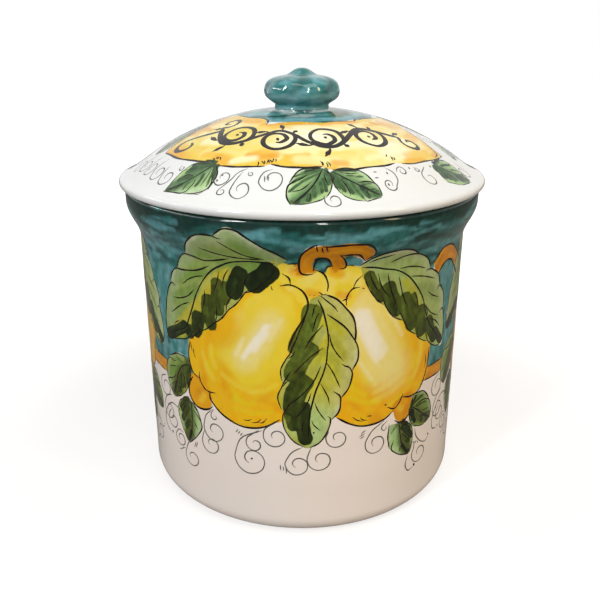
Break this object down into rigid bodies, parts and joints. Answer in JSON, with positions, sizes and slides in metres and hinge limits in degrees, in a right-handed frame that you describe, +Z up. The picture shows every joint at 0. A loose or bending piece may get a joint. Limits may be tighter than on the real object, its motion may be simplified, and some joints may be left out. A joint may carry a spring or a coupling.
{
  "type": "biscuit jar",
  "caption": "Hand-painted glazed earthenware biscuit jar with a flared rim and a loose domed lid that drops into the mouth on a locating ring and lifts off by a lobed knob.",
  "frame": {"origin": "centre of the foot, on the surface that the jar stands on", "axes": "+Z up along the axis of the jar, the lid and the knob; -Y is the front, the side that faces the viewer; +X is the viewer's right"},
  "size_m": [0.2, 0.2, 0.2316],
  "materials": {
    "body_glaze": "gloss",
    "lid_glaze": "gloss",
    "knob_glaze": "gloss"
  },
  "bodies": {
    "jar": {"jar_body": "body_glaze"},
    "lid": {"lid": "lid_glaze", "lid_knob": "knob_glaze"}
  },
  "joints": [
    {"name": "lid_lift", "type": "slide", "parent": "jar", "child": "lid", "axis": [0, 0, 1], "range_m": [0, 0.15]}
  ]
}
